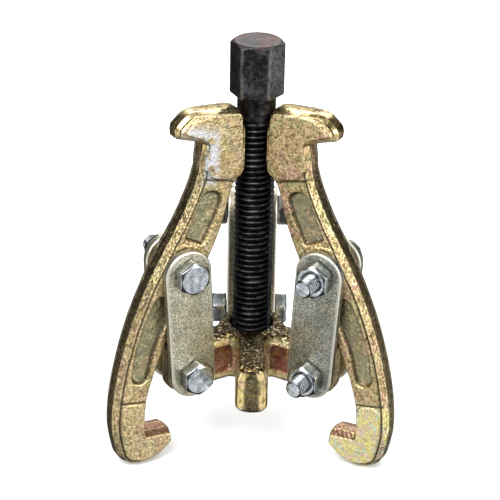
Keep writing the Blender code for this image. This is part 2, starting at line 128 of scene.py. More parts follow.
TRIM_HALF_WIDTH = 1.9
RIM_DRAFT = 0.7
BACK_DRAFT = 0.4
PAD_RIM = 0.45
PAD_INSET = 1.35
PAD_CORNER = 4.0
HOOK_RIM = 1.5
HOOK_DRAFT = 0.9
GROOVE_INSET = 1.1
GROOVE_HALF_WIDTH = 0.32
GROOVE_DEPTH = 0.5
GRIP_PITCH = 1.3
GRIP_DEPTH = 0.3
LUG_HALF_WIDTHS = ((23.3, 4.6), (25.3, 5.2), (35.8, 5.2), (40.3, 3.6))
LUG_CORNER = 3.6
RECESS_RADII = (10.6, 18.6)
RECESS_REACH = 7.8
# The hexagon face turned towards the right front, which is painted lighter grey as painted light.
LIT_FACE_TURN = HEX_TURN - math.radians(60)
SOCKET_R = 2.7
SOCKET_DEPTH = 8.0
BOLT_THREAD_DEPTH = 0.55
HEX_CHAMFER = math.radians(32)
HEX_FACE_RINGS = 5

ROOM_LIGHT = 0.03
WHITE_ROOM = (1.0, 1.0, 1.0)


# Outlines in a plane, as lists of (x, y).


def rounded(corners, steps=6):
    """The outline through (x, y, radius) corners, each turned into an arc of its radius."""
    outline = []
    for i, (x, y, radius) in enumerate(corners):
        corner = Vector((x, y))
        before = Vector(corners[i - 1][:2]) - corner
        after = Vector(corners[(i + 1) % len(corners)][:2]) - corner
        half = before.angle(after) / 2
        if radius == 0 or abs(half - math.pi / 2) < 0.01:
            outline.append((x, y))
            continue
        middle = (before.normalized() + after.normalized()).normalized()
        centre = corner + middle * radius / math.sin(half)
        start = corner + before.normalized() * radius / math.tan(half) - centre
        end = corner + after.normalized() * radius / math.tan(half) - centre
        sweep = start.angle_signed(end)
        for step in range(steps + 1):
            arm = Matrix.Rotation(-sweep * step / steps, 2) @ start
            outline.append(tuple(centre + arm))
    return outline


def smooth_through(points, steps=4):
    """A Catmull-Rom curve through the points, from the first to the last."""
    knots = [Vector(p) for p in points]
    knots = [2 * knots[0] - knots[1], *knots, 2 * knots[-1] - knots[-2]]
    curve = []
    for a, b, c, d in zip(knots, knots[1:], knots[2:], knots[3:]):
        for step in range(steps):
            t = step / steps
            curve.append(
                0.5 * (2 * b + (c - a) * t + (2 * a - 5 * b + 4 * c - d) * t**2
                       + (3 * b - a - 3 * c + d) * t**3)
            )
    curve.append(knots[-2])
    return [tuple(p) for p in curve]


def outer_sweep():
    """The back of the jaw, from under the hook down to the claw."""
    return smooth_through([
        (21.0, 98.4), (22.9, 92.7), (27.4, 83.4), (33.7, 73.0), (39.6, 62.2),
        (45.0, 49.8), (49.2, 36.3), (51.7, 24.0), (52.4, 14.5), (51.6, 8.2),
    ])


def jaw_outline():
    """Clockwise from under the hook: the back, the claw, the inner edge and the hook."""
    claw = [(51.6, 8.2, 0), (50.1, 1.3, 6.0), (43.5, -1.05, 9.0), (36.8, 1.4, 7.0), (32.2, 4.9, 1.6),
            (32.7, 8.9, 1.2), (41.9, 9.6, 1.0), (42.0, 14.5, 0)]
    inner_sweep = [(42.0, 14.5), (41.3, 22.5), (38.8, 31.0), (35.6, 39.3), (31.2, 47.8), (24.9, 58.7),
                   (18.6, 69.8), (14.0, 80.5), (11.6, 89.0), (10.1, 93.2), (7.8, 95.6), (7.05, 99.5),
                   (7.0, 104.5), (7.0, 110.0)]
    hook = [(7.0, 110.0, 0), (7.3, 117.3, 2.6), (24.6, 118.4, 5.6), (29.4, 114.3, 2.6), (29.2, 111.3, 0.6),
            (19.5, 108.2, 1.2), (21.0, 98.4, 0)]
    return outer_sweep() + rounded(claw)[1:-1] + smooth_through(inner_sweep) + rounded(hook)[1:-1]


def behind_the_back():
    """The space behind the back of the jaw: distances to it count inwards from the back alone."""
    under_claw = rounded([(51.6, 8.2, 0), (50.1, 1.3, 6.0), (43.5, -1.05, 0)])
    return outer_sweep() + under_claw[1:] + [(43.5, -9.0), (62.0, -9.0), (62.0, 98.4)]


def lower_pocket():
    return rounded([
        (36.9, 60.6, 2.2), (41.9, 51.6, 30), (45.4, 42.2, 30), (47.3, 30.4, 3.0), (41.2, 28.4, 3.0),
        (38.3, 40.2, 30), (34.4, 48.2, 30), (30.2, 55.6, 2.2),
    ])


def upper_pocket():
    return rounded([
        (13.1, 91.0, 3.7), (20.9, 93.3, 3.7), (25.8, 82.2, 20), (28.0, 77.5, 1.6), (20.8, 73.9, 1.6),
        (16.5, 82.2, 20),
    ])


JAW_SHAPES = {
    "outline": jaw_outline(),
    "lower_pocket": lower_pocket(),
    "upper_pocket": upper_pocket(),
    "back": behind_the_back(),
}
JAW_LIFT = FLOOR + PARTING_RIDGE - min(z for r, z in JAW_SHAPES["outline"])


# Distance functions, in millimetres: negative inside, positive outside.


def larger(a, b, blend):
    """The larger of two distances, which cuts one shape by another with a rounded edge."""
    return np.maximum(a, b) + np.maximum(blend - np.abs(a - b), 0) ** 2 / (4 * blend)


def smaller(a, b, blend):
    """The smaller of two distances, which joins two shapes with a fillet."""
    return -larger(-a, -b, blend)


def ramp(t, width):
    """0 well below zero and 1 well above it, rising smoothly over the width."""
    t = np.clip(t / width + 0.5, 0, 1)
    return t * t * (3 - 2 * t)


def near(distance, width):
    """1 at no distance, fading out over about the width."""
    return np.exp(-((distance / width) ** 2))


def to_outline(outline, a, b):
    """Signed distance in the plane from the points (a, b) to a closed outline."""
    nearest = np.full(a.shape, 1e9)
    inside = np.zeros(a.shape, bool)
    for (x0, y0), (x1, y1) in zip(outline, outline[1:] + outline[:1]):
        ex, ey = x1 - x0, y1 - y0
        if ex == ey == 0:
            continue
        t = np.clip(((a - x0) * ex + (b - y0) * ey) / (ex * ex + ey * ey), 0, 1)
        nearest = np.minimum(nearest, (a - x0 - t * ex) ** 2 + (b - y0 - t * ey) ** 2)
        if ey != 0:
            inside ^= ((y0 > b) != (y1 > b)) & (a < x0 + (b - y0) * ex / ey)
    return np.where(inside, -1, 1) * np.sqrt(nearest)


def waviness(x, y, z, wavelength, seed):
    """A smooth uneven field between about -1 and 1: waves in many directions."""
    draw = np.random.default_rng(seed)
    total = 0
    waves = 9
    for _ in range(waves):
        direction = draw.normal(size=3)
        direction *= 2 * math.pi / wavelength / np.linalg.norm(direction) * draw.uniform(0.6, 1.4)
        total = total + np.sin(direction[0] * x + direction[1] * y + direction[2] * z + draw.uniform(0, 6.3))
    return total / waves * 1.6


def above_line(line, r, z):
    """Distance above a tilted line in the arm's plane, given as ((r, z), tilt in degrees)."""
    (r0, z0), tilt = line
    tilt = math.radians(tilt)
    return (r - r0) * math.sin(tilt) + (z - z0) * math.cos(tilt)


def jaw_distances(r, z):
    """Signed distances in the arm's plane to each outline of the jaw."""
    return [to_outline(outline, r, z - JAW_LIFT) for outline in JAW_SHAPES.values()]


def beside_screw(r, z):
    """1 on the inner edge of the hook, which runs close beside the screw."""
    return ramp(10.5 - r, 3.0) * ramp(z - 97.0, 4.0) * ramp(113.5 - z, 4.0)


def hook_end(r, z):
    """1 at the outer end of the hook, where a broad rounded rim runs round its pad."""
    return ramp(r - 22.0, 9.0) * ramp(z - 103.0, 5.0)


def pad_share(r, z, edge, back):
    """1 on the raised pads of the claw and the hook, and 0 on the shank between them."""
    beyond = np.minimum(above_line(CLAW_PAD, r, z), -above_line(HOOK_PAD, r, z))
    inset = PAD_RIM - 2 * PAD_RIM * beside_screw(r, z) + HOOK_RIM * hook_end(r, z)
    outside = np.maximum(edge + inset, PAD_INSET - back)
    return ramp(-larger(beyond, outside, PAD_CORNER), 0.5)


def groove_share(back):
    """1 in the bottom of the fine groove beside the back of the jaw."""
    return near(back - GROOVE_INSET, GROOVE_HALF_WIDTH)


def jaw_half_width(r, z, edge, back):
    """Half the jaw's width at a place in the arm's plane."""
    half = JAW_HALF_WIDTH + (PAD_HALF_WIDTH - JAW_HALF_WIDTH) * pad_share(r, z, edge, back)
    from_pivot = np.hypot(r - UPPER_PIVOT[0], z - UPPER_PIVOT[1])
    boss = JAW_HALF_WIDTH + (BOSS_HALF_WIDTH - JAW_HALF_WIDTH) * ramp(BOSS_R - from_pivot, 0.7)
    return np.maximum(half, boss) - GROOVE_DEPTH * groove_share(back)


def jaw_wall(r, side, z, edge, back):
    """Distance to the jaw's outer walls: a band round the middle, and a wall leaning in on each side."""
    draft = (RIM_DRAFT + BACK_DRAFT * ramp(3.0 - back, 4.0)) * (1 - beside_screw(r, z))
    draft = draft + HOOK_DRAFT * hook_end(r, z)
    lean = np.maximum(side - TRIM_HALF_WIDTH, 0) / (JAW_HALF_WIDTH - TRIM_HALF_WIDTH)
    return edge - PARTING_RIDGE + 0.03 * side + draft * lean


def to_jaw(r, y, z, shapes):
    """The jaw: a drafted forging with raised pads, a boss, a pocket at each end and a parting ridge."""
    edge, low, high, back = shapes
    side = np.abs(y)
    half = jaw_half_width(r, z, edge, back)
    half = half - 0.04 * (1 + waviness(r, y, z, 14, 10)) - 0.03 * (1 + waviness(r, y, z, 4, 12))
    body = larger(jaw_wall(r, side, z, edge, back), side - half, 0.5) + 0.03 * (1 + waviness(r, y, z, 3, 13))
    wall_draft = 0.35 * (JAW_HALF_WIDTH - side)
    for pocket in (low, high):
        hollow = larger(pocket + wall_draft, POCKET_FLOOR - side + 0.12 * waviness(r, y, z, 5, 11), 0.9)
        body = larger(body, -hollow, 0.45)
    body = larger(body, HOLE_R - np.hypot(r - UPPER_PIVOT[0], z - UPPER_PIVOT[1]), 0.3)
    stripes = np.abs(((r * 0.8 + y * 0.6) / GRIP_PITCH) % 1 - 0.5)
    return body + grip_share(r, z) * GRIP_DEPTH * stripes


def grip_share(r, z):
    """1 on the face of the claw that pulls, which is cut with slanted grooves."""
    along = ramp(41.5 - r, 1.5) * ramp(r - 32.8, 1.5)
    return along * ramp(z - 7.5 - JAW_LIFT, 1.0) * ramp(14.0 - z, 1.0)


def jaw_marks(r, y, z):
    """Where the jaw's finish changes, and where shade, highlights and dark reflections are painted, from 0 to
    1, at each point.
    """
    edge, low, high, back = jaw_distances(r, z)
    side = np.abs(y)
    off_pads = 1 - pad_share(r, z, edge, back)
    to_pads = np.minimum(above_line(CLAW_PAD, r, z), -above_line(HOOK_PAD, r, z))
    on_face = ramp(side - JAW_HALF_WIDTH + 0.9, 0.6)
    foot = near(to_pads - 0.5, 0.42) * off_pads * ramp(-edge - 0.3, 0.6) * on_face
    hollow = np.minimum(low, high)
    corner = near(hollow + 0.6, 0.35) * ramp(4.2 - side, 0.8)
    at_face = near(side - jaw_half_width(r, z, edge, back), 0.4)
    # Edges lightened for wear and as a painted highlight: the parting ridge, the sides of the band along the
    # back, the pockets' rims and the pads' edges.
    wear_and_highlight = np.maximum.reduce([
        near(jaw_wall(r, side, z, edge, back), 0.3) * at_face,
        near(side - TRIM_HALF_WIDTH, 0.3) * ramp(edge + 0.5, 0.4) * 0.8,
        near(hollow + 0.35 * (JAW_HALF_WIDTH - side), 0.28) * at_face,
        near(to_pads + 0.25, 0.22) * on_face * ramp(-edge - 0.5, 0.6) * ramp(back - PAD_INSET, 0.5),
    ])
    tail = ramp(r - 19.5, 5.0) * ramp(115.0 - z, 5.0)
    shoulder = ramp(21.5 - r, 2.5) * ramp(r - 16.3, 3.5) * ramp(113.0 - z, 5.0)
    return {
        "recess": ramp(-hollow - 0.5, 0.5) * ramp(JAW_HALF_WIDTH - 0.7 - side, 0.8),
        # Painted shade: a near-black line in the groove beside the back, under the step of the pads and in
        # the pockets' inner corners.
        "crease_shade": np.maximum.reduce([groove_share(back) * on_face, foot, 0.8 * corner]),
        "rim": ramp(edge + 0.5, 0.4),
        # The middle band along the back, the forging's trim line, which the material paints dark, partly as a
        # painted dark reflection.
        "trimmed_and_shaded": ramp(TRIM_HALF_WIDTH - side, 0.4) * ramp(2.0 - back, 2.0) * ramp(100.0 - z, 6.0),
        "notch": np.maximum(tail, shoulder) * ramp(z - 96.0, 3.0) * on_face,
        "wear_and_highlight": wear_and_highlight,
        "grip": grip_share(r, z) * ramp(edge + 0.6, 0.6),
        "smooth": ramp(edge + 0.5, 0.4) * ramp(z - 106.0, 6.0),
    }


def recess_plan(u, z):
    """Distance, seen from a lug's side, to the outline of the recess in it."""
    along = np.abs(u - sum(RECESS_RADII) / 2) - (RECESS_RADII[1] - RECESS_RADII[0]) / 2
    up = np.abs(z - sum(RECESS_HEIGHTS) / 2) - (RECESS_HEIGHTS[1] - RECESS_HEIGHTS[0]) / 2
    return larger(along, up, 1.4)


def lug_places(x, y):
    """(u, v) for each lug of the yoke: how far out along it, and how far to either side of its middle."""
    for azimuth in (*AZIMUTHS.values(), SPARE_LUG):
        u = x * math.cos(azimuth) + y * math.sin(azimuth)
        v = np.abs(y * math.cos(azimuth) - x * math.sin(azimuth))
        yield u, v


def to_yoke(x, y, z):
    """The yoke: lugs run into a round hub with fillets, with recessed sides, pivot holes and a thread."""
    around = np.hypot(x, y)
    heights, halves = zip(*LUG_HALF_WIDTHS)
    half = np.interp(z, heights, halves)
    lugs = None
    cuts = None
    for u, v in lug_places(x, y):
        bar = larger(larger(v - half, u - LUG_END, LUG_CORNER), -u, 1.0)
        lugs = bar if lugs is None else smaller(lugs, bar, 2.6)
        recess = larger(larger(recess_plan(u, z), RECESS_FLOOR - v, 0.7), v - RECESS_REACH, 0.7)
        hole = np.hypot(u - LOWER_PIVOT[0], z - LOWER_PIVOT[1]) - HOLE_R
        cut = np.minimum(recess, hole)
        cuts = cut if cuts is None else np.minimum(cuts, cut)
    plan = smaller(lugs, around - HUB_R, 2.2)
    body = larger(larger(plan, z - YOKE_TOP, 1.6), YOKE_BOTTOM - z, 3.0)
    body = body + 0.05 * waviness(x, y, z, 9, 5) + 0.03 * waviness(x, y, z, 2.5, 6)
    body = larger(body, -cuts, 0.5)
    turn = np.arctan2(y, x) / (2 * math.pi)
    bore = SCREW_R + 0.3 - THREAD_DEPTH * thread_root((z - SCREW_BOTTOM) / PITCH - turn)
    mouth = SCREW_R + 0.9 - np.abs(z - YOKE_TOP) * 0.8
    return larger(body, np.maximum(bore, mouth) - around, 0.25)


def yoke_marks(x, y, z):
    """Where the yoke's finish changes, and where shade and dark reflections are painted, from 0 to 1, at each
    point.
    """
    recess = np.zeros(len(x))
    ends = np.zeros(len(x))
    for u, v in lug_places(x, y):
        in_plan = ramp(0.2 - recess_plan(u, z), 0.6) * ramp(RECESS_REACH - v, 0.5)
        recess = np.maximum(recess, in_plan * ramp(v - RECESS_FLOOR + 0.8, 0.5))
        ends = np.maximum(ends, ramp(u - LUG_END + 2.4, 1.2))
    around = np.hypot(x, y)
    return {
        "recess": recess,
        # Painted shade round the mouth of the threaded bore.
        "crease_shade": ramp(SCREW_R + 0.9 - around, 0.8),
        "rim": ends,
        "smooth": ends,
        "top": ramp(z - YOKE_TOP + 1.6, 1.2),
    }


def to_plate(u, v, w, wear_seed):
    """A link plate: u along it from the lower hole, v across it, w through it from its middle."""
    plan = np.hypot(u - np.clip(u, 0, PIVOT_SPAN), v) - PLATE_R
    holes = np.minimum(np.hypot(u, v), np.hypot(u - PIVOT_SPAN, v)) - HOLE_R
    plan = larger(plan, -holes, 0.2)
    face = np.abs(w) - PLATE_THICKNESS / 2
    return larger(plan, face, 0.55) + 0.02 * (1 + waviness(u, v, w, 7, wear_seed))


def thread_root(phase):
    """0 at a thread's crest and 1 at its root. The phase counts turns, with a root at each whole number."""
    from_crest = 2 * np.abs(phase - np.floor(phase) - 0.5)
    return ramp(from_crest - 0.5, 0.86)


# Meshes.


def mesh_of(name, points, faces):
    """A smooth mesh in metres from points in millimetres."""
    mesh = bpy.data.meshes.new(name)
    mesh.vertices.add(len(points))
    mesh.vertices.foreach_set("co", (np.asarray(points, np.float64) * MM).ravel())
    faces = np.asarray(faces, np.int32)
    mesh.loops.add(faces.size)
    mesh.loops.foreach_set("vertex_index", faces.ravel())
    mesh.polygons.add(len(faces))
    mesh.polygons.foreach_set("loop_start", np.arange(0, faces.size, faces.shape[1], dtype=np.int32))
    mesh.update(calc_edges=True)
    mesh.validate()
    mesh.shade_smooth()
    return mesh


def surface(distance, low, high, step):
    """(points, quads) of the surface where distance(x, y, z) is zero, between two corners."""
    axes = [np.arange(a - 2 * step, b + 3 * step, step) for a, b in zip(low, high)]
    values = distance(axes[0][:, None, None], axes[1][None, :, None], axes[2][None, None, :])
    grid = openvdb.FloatGrid(3 * step)
    grid.copyFromArray(np.clip(values, -3 * step, 3 * step).astype(np.float32))
    points, quads = grid.convertToQuads(isovalue=0.0)
    points = points.astype(np.float64) * step + np.array([axis[0] for axis in axes])
    for _ in range(2):
        points = settled(distance, points, step)
    corners = points[quads]
    normals = np.cross(corners[:, 2] - corners[:, 0], corners[:, 3] - corners[:, 1])
    if (normals * corners.mean(axis=1)).sum() < 0:
        quads = quads[:, ::-1]
    return points, quads


def settled(distance, points, step):
    """The points moved along the slope of the distance onto its zero surface."""
    probe = 0.25 * step
    value = distance(*points.T)
    slope = np.zeros_like(points)
    for axis in range(3):
        shift = np.zeros(3)
        shift[axis] = probe
        slope[:, axis] = (distance(*(points + shift).T) - distance(*(points - shift).T)) / (2 * probe)
    move = slope * (value / np.maximum((slope**2).sum(axis=1), 0.2))[:, None]
    return points - np.clip(move, -0.5 * step, 0.5 * step)


def rings(columns, profile):
    """(points, faces) of a closed solid round Z from (radius, height) rings, top to bottom.

    A radius or a height is a number, or an array with one value for each column.
    """
    angles = 2 * math.pi * np.arange(columns) / columns
    points = [
        np.stack([radius * np.cos(angles), radius * np.sin(angles), height + 0 * angles], axis=1)
        for radius, height in profile
    ]
    count = len(points)
    ring = np.arange(count - 1)[:, None] * columns
    column = np.arange(columns)[None, :]
    after = (column + 1) % columns
    faces = np.stack([ring + column, ring + columns + column, ring + columns + after, ring + after], axis=-1)
    return np.concatenate(points), faces.reshape(-1, 4)


def thread_marks(points, crest, depth, top):
    """How deep in the thread's grooves each point lies, from 0 to 1, below the height top. The materials
    paint the deep parts dark as painted shade.
    """
    around = np.hypot(points[:, 0], points[:, 1])
    deep = np.clip((crest - around) / depth, 0, 1) * (points[:, 2] < top) * (around > crest - 1.3 * depth)
    return {"crease_shade": ramp(deep - 0.5, 0.9)}


def placed(points, matrix):
    """Points moved by a 4x4 matrix."""
    matrix = np.array(matrix)
    return points @ matrix[:3, :3].T + matrix[:3, 3]


def add_piece(node, points, faces, material, marks=None):
    """One finished piece, which stands for the CAD node and rides on its body.

    marks names values from 0 to 1, one for each point, which the piece's material reads.
    """
    made = bpy.data.objects.new(node + "_fine", mesh_of(node, points, faces))
    for name, values in (marks or {}).items():
        made.data.attributes.new(name, "FLOAT", "POINT").data.foreach_set("value", values.astype(np.float32))
    made.data.materials.append(material)
    bpy.context.scene.collection.objects.link(made)
    body = next(b for b, nodes in frame["record"]["behaviour"]["bodies"].items() if node in nodes)
    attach(made, body)
    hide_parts(node)
    return made


# Pieces.


def jaw_shape(step=0.3):
    """(points, quads, marks) of the jaw in the arm's plane. The three jaws come from one die."""
    def distance(r, y, z):
        flat_r, flat_z = np.broadcast_arrays(r, z)
        return to_jaw(r, y, z, jaw_distances(flat_r, flat_z))

    radii, heights = zip(*JAW_SHAPES["outline"])
    low = (min(radii) - 1, -PAD_HALF_WIDTH - 0.5, min(heights) + JAW_LIFT - 1)
    high = (max(radii) + 1, PAD_HALF_WIDTH + 0.5, max(heights) + JAW_LIFT + 1)
    points, quads = surface(distance, low, high, step)
    return points, quads, jaw_marks(*points.T)


def add_jaw(arm, shape, material):
    points, quads, marks = shape
    turn = Matrix.Rotation(AZIMUTHS[arm], 4, "Z")
    return add_piece(f"jaw_{arm}", placed(points, turn), quads, material, marks)


def add_yoke(material, step=0.3):
    reach = LUG_END + 0.5
    low = (-reach, -reach, YOKE_BOTTOM - 0.5)
    high = (reach, reach, YOKE_TOP + 0.5)
    points, quads = surface(to_yoke, low, high, step)
    return add_piece("yoke", points, quads, material, yoke_marks(*points.T))


def add_plate(arm, name, side, material, seed, step=0.4):
    low = (-PLATE_R, -PLATE_R, -PLATE_THICKNESS / 2)
    high = (PIVOT_SPAN + PLATE_R, PLATE_R, PLATE_THICKNESS / 2)
    points, quads = surface(lambda u, v, w: to_plate(u, v, w, seed), low, high, step)
    middle = side * (PLATE_INNER + PLATE_THICKNESS / 2)
    along = Vector((UPPER_PIVOT[0] - LOWER_PIVOT[0], 0, UPPER_PIVOT[1] - LOWER_PIVOT[1])).normalized()
    across = Vector((0, 1, 0)).cross(along)
    place = Matrix((
        (along.x, across.x, 0, LOWER_PIVOT[0]),
        (along.y, across.y, 1, middle),
        (along.z, across.z, 0, LOWER_PIVOT[1]),
        (0, 0, 0, 1),
    ))
    quads = quads if place.to_3x3().determinant() > 0 else quads[:, ::-1]
    place = Matrix.Rotation(AZIMUTHS[arm], 4, "Z") @ place
    return add_piece(f"link_plate_{arm}_{name}", placed(points, place), quads, material)


def hexagon_radius(columns, flats, turn=0.0, softness=90):
    """The radius of a hexagon with slightly rounded corners at each column."""
    angles = 2 * math.pi * np.arange(columns) / columns - turn
    faces = [np.maximum(np.cos(angles - math.pi / 3 * k), 1e-6) for k in range(6)]
    return flats / 2 / np.sum([face**softness for face in faces], axis=0) ** (1 / softness)


def hexagon_end(radius, flats, top, outward, dish=0.03):
    """Rings from the middle of a hexagon's face at the height top down to its sides.

    outward is 1 where the face looks up and -1 where it looks down. The first HEX_FACE_RINGS rings are
    the middle of the face, which a nut does not have.
    """
    face_r = flats / 2 - 0.45
    drop = np.maximum(radius - face_r, 0) * math.tan(HEX_CHAMFER)
    return [
        (0.0, top - outward * dish),
        (face_r * 0.06, top - outward * dish),
        (face_r * 0.12, top - outward * dish),
        (face_r * 0.62, top - outward * dish),
        (face_r * 0.78, top - outward * dish / 3),
        (face_r - 0.25, top),
        (face_r - 0.05, top - outward * 0.02),
        (face_r + 0.06, top - outward * 0.08),
        (radius - 0.10, top - outward * (drop - 0.02)),
        (radius - 0.02, top - outward * (drop + 0.05)),
        (radius, top - outward * (drop + 0.16)),
    ]


def thread_rings(columns, crest, depth, pitch, top, bottom, phase, runout, rows=12):
    """Rings down a right-hand thread, fading out into the shank over its run-out and chamfered at its end."""
    turn = np.arange(columns) / columns
    heights = np.arange(top, bottom, -pitch / rows)
    made = []
    for z in heights:
        fade = np.clip((top - z) / runout, 0, 1)
        chamfer = crest - max(0.0, depth * 1.1 - (z - bottom)) * 0.9
        radius = crest - depth * fade * thread_root((z - phase) / pitch - turn)
        made.append((np.minimum(radius, chamfer), z))
    return made


def add_screw(material, columns=96):
    hexagon = hexagon_radius(columns, HEX_FLATS, HEX_TURN, softness=160)
    profile = hexagon_end(hexagon, HEX_FLATS, HEX_TOP, 1, dish=0.02)
    profile += [
        (hexagon, HEX_BOTTOM + 0.6),
        (hexagon - 0.1, HEX_BOTTOM + 0.1),
        (hexagon - 0.4, HEX_BOTTOM),
        (NECK_R + 0.7, HEX_BOTTOM),
        (NECK_R + 0.2, HEX_BOTTOM - 0.2),
        (NECK_R, HEX_BOTTOM - 0.8),
        (NECK_R, THREAD_TOP + 1.0),
        (SCREW_R - 0.05, THREAD_TOP + 0.2),
    ]
    profile += thread_rings(
        columns, SCREW_R, THREAD_DEPTH, PITCH, THREAD_TOP, SCREW_BOTTOM, phase=SCREW_BOTTOM, runout=2.5
    )
    profile += [
        (SCREW_R - THREAD_DEPTH - 0.3, SCREW_BOTTOM),
        (SOCKET_R, SCREW_BOTTOM),
        (SOCKET_R, SCREW_BOTTOM + SOCKET_DEPTH),
        (0.0, SCREW_BOTTOM + SOCKET_DEPTH + 0.2),
    ]
    points, faces = rings(columns, profile)
    marks = thread_marks(points, SCREW_R, THREAD_DEPTH, THREAD_TOP)
    # Painted light: one side face of the hexagon is marked to be painted lighter.
    towards = points[:, 0] * math.cos(LIT_FACE_TURN) + points[:, 1] * math.sin(LIT_FACE_TURN)
    marks["painted_light_face"] = ramp(towards - HEX_FLATS / 2 + 0.4, 0.5) * ramp(points[:, 2] - HEX_BOTTOM, 1.0)
    return add_piece("forcing_screw", points, faces, material, marks)


def add_centre_point(material, columns=64):
    collar_top = SCREW_BOTTOM - 0.3
    collar_bottom = collar_top - POINT_COLLAR_HEIGHT
    profile = [
        (0.0, SCREW_BOTTOM + 7.8),
        (2.0, SCREW_BOTTOM + 7.8),
        (2.4, SCREW_BOTTOM + 7.3),
        (2.4, collar_top + 0.3),
        (2.7, collar_top),
        (POINT_COLLAR_R - 0.4, collar_top),
        (POINT_COLLAR_R - 0.1, collar_top - 0.1),
        (POINT_COLLAR_R, collar_top - 0.4),
        (POINT_COLLAR_R, collar_bottom + 0.3),
        (POINT_COLLAR_R - 0.12, collar_bottom + 0.05),
        (POINT_COLLAR_R - 0.45, collar_bottom - 0.15),
        (0.5, POINT_TIP + 0.35),
        (0.25, POINT_TIP + 0.1),
        (0.0, POINT_TIP),
    ]
    points, faces = rings(columns, profile)
    return add_piece("centre_point", points, faces, material)


def bolt(columns=72):
    """A bolt about Z with its head on top and its middle between the outer faces of the plates."""
    hexagon = hexagon_radius(columns, BOLT_FLATS)
    under_head = PLATE_INNER + PLATE_THICKNESS + SNUG
    end = under_head - BOLT_LENGTH
    thread_top = -PLATE_INNER
    profile = hexagon_end(hexagon, BOLT_FLATS, under_head + BOLT_HEAD, 1)
    profile += [
        (hexagon, under_head + 0.5),
        (hexagon - 0.1, under_head + 0.3),
        (BOLT_FLATS / 2 - 0.2, under_head + 0.2),
        (BOLT_FLATS / 2 - 0.3, under_head),
        (BOLT_R + 0.1, under_head),
        (BOLT_R, under_head - 0.2),
    ]
    profile += thread_rings(
        columns, BOLT_R, BOLT_THREAD_DEPTH, BOLT_PITCH, thread_top, end, phase=end, runout=2.0, rows=10
    )
    profile += [(BOLT_R - 0.75, end), (0.3, end), (0.15, end), (0.0, end)]
    return rings(columns, profile)


def nut(columns=60):
    """A nut about Z, threaded on the far end of the bolt against the other plate."""
    hexagon = hexagon_radius(columns, BOLT_FLATS)
    top = -PLATE_INNER - PLATE_THICKNESS - SNUG
    bottom = top - NUT_HEIGHT
    bore = BOLT_R + 0.1
    outside = hexagon_end(hexagon, BOLT_FLATS, top, 1)[HEX_FACE_RINGS:]
    outside += reversed(hexagon_end(hexagon, BOLT_FLATS, bottom, -1)[HEX_FACE_RINGS:])
    inside = [
        (bore + 0.45, bottom + 0.02),
        (bore + 0.35, bottom + 0.08),
        (bore, bottom + 0.45),
        (bore, top - 0.45),
        (bore + 0.35, top - 0.08),
        (bore + 0.45, top - 0.02),
    ]
    profile = outside + inside
    points, faces = rings(columns, profile)
    last = (len(profile) - 1) * columns
    column = np.arange(columns)
    after = (column + 1) % columns
    closing = np.stack([last + column, column, after, last + after], axis=-1)
    return points, np.concatenate([faces, closing])


def add_hardware(arm, height, heads, material):
    """The bolt and nut of one pivot. heads is 1 where the head is on the arm's counter-clockwise side."""
    pivot = PIVOT_PLACES[arm, height]
    lay = Matrix.Rotation(AZIMUTHS[arm], 4, "Z") @ Matrix.Rotation(-heads * math.pi / 2, 4, "X")
    place = Matrix.Translation(pivot) @ lay
    for kind, shape in (("bolt", bolt), ("nut", nut)):
        points, faces = shape()
        marks = thread_marks(points, BOLT_R, BOLT_THREAD_DEPTH, -PLATE_INNER) if kind == "bolt" else {}
        add_piece(f"pivot_{kind}_{arm}_{height}", placed(points, place), faces, material, marks)


# Materials.


